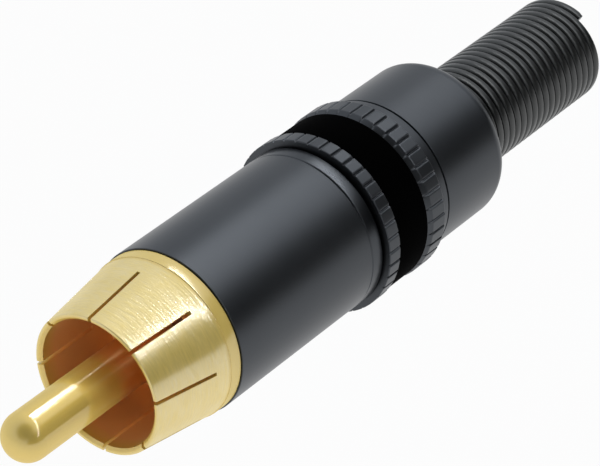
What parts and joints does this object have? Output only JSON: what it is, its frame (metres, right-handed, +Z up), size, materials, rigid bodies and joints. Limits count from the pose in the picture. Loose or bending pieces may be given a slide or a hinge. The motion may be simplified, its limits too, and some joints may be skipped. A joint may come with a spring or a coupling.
{
  "type": "phono plug",
  "caption": "Cable-end phono plug: gold centre pin in a slotted ground collar, black two-part screw shell with a coding ring between knurls, and a close-wound bend-relief spring.",
  "frame": {"origin": "centre of the collar's mouth behind the chamfer of its rim, on the plug's axis", "axes": "X along the plug's axis with the pin towards -X and the cable end towards +X, Z up"},
  "size_m": [0.0577, 0.0124, 0.0124],
  "materials": {
    "gold_plate": "bright gold plating over turned brass",
    "insulator_brown": "moulded dark brown plastic",
    "tinned_lug": "tinned sheet",
    "sleeve_plastic": "smooth extruded tube",
    "shell_black": "satin black finish over turned metal",
    "ring_black": "plain black plastic",
    "spring_black": "black finish on spring wire"
  },
  "bodies": {
    "contact_insert": {"centre_pin": "gold_plate", "pin_insulator": "insulator_brown", "ground_collar": "gold_plate", "ground_lug": "tinned_lug"},
    "sleeve": {"insulating_sleeve": "sleeve_plastic"},
    "front_half": {"front_shell": "shell_black"},
    "ring": {"coding_ring": "ring_black"},
    "rear_half": {"rear_shell": "shell_black", "bend_spring": "spring_black"}
  },
  "joints": [
    {"name": "shell_travel", "type": "slide", "parent": "contact_insert", "child": "sleeve", "axis": [1, 0, 0], "range_m": [0, 0.0045]},
    {"name": "shell_turn", "type": "hinge", "parent": "sleeve", "child": "front_half", "pos_m": [0.009, 0, 0], "axis": [1, 0, 0], "range_deg": [0, 2160]},
    {"name": "rear_travel", "type": "slide", "parent": "front_half", "child": "ring", "axis": [1, 0, 0], "range_m": [0, 0.00375]},
    {"name": "rear_turn", "type": "hinge", "parent": "ring", "child": "rear_half", "pos_m": [0.028, 0, 0], "axis": [1, 0, 0], "range_deg": [0, 1800]}
  ],
  "couplings": [
    {"joint": "shell_turn", "follows": "shell_travel", "rad_per_m": 8377.6},
    {"joint": "rear_turn", "follows": "rear_travel", "rad_per_m": 8377.6}
  ]
}
